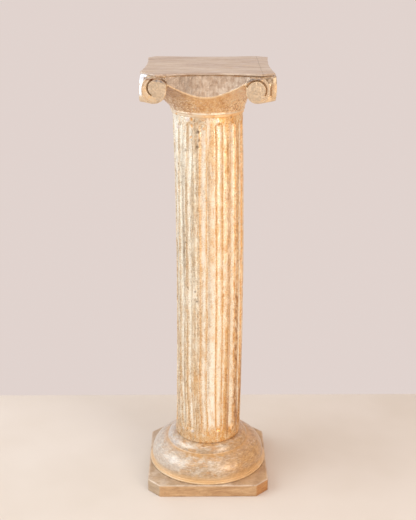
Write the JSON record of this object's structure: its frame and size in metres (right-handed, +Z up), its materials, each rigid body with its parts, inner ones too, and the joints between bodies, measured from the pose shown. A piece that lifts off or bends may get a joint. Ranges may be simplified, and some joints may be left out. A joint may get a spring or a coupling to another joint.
{
  "type": "column pedestal",
  "caption": "Carved wooden Ionic column pedestal: fluted round shaft on a torus moulding and square plinth, corner volutes and a flat hollow-sided top.",
  "frame": {"origin": "on the floor under the middle of the square plinth", "axes": "+Z up the shaft, -Y to the front, +X to the right seen from the front"},
  "size_m": [0.3024, 0.3024, 1.05],
  "materials": {
    "plinth_leaf": "worn gold leaf over gesso on wood",
    "moulding_leaf": "pearly silver and gold leaf, rubbed, satin",
    "shaft_leaf": "distressed gold and silver leaf with dark specks, satin",
    "capital_leaf": "silver-beige leaf on the faces and warm gold on the bell, chisel marked",
    "board_leaf": "thin silver-beige leaf over long wood grain, satin"
  },
  "bodies": {
    "root": {"plinth": "plinth_leaf", "base_moulding": "moulding_leaf", "shaft": "shaft_leaf", "capital": "capital_leaf", "abacus_board": "board_leaf"}
  },
  "joints": []
}
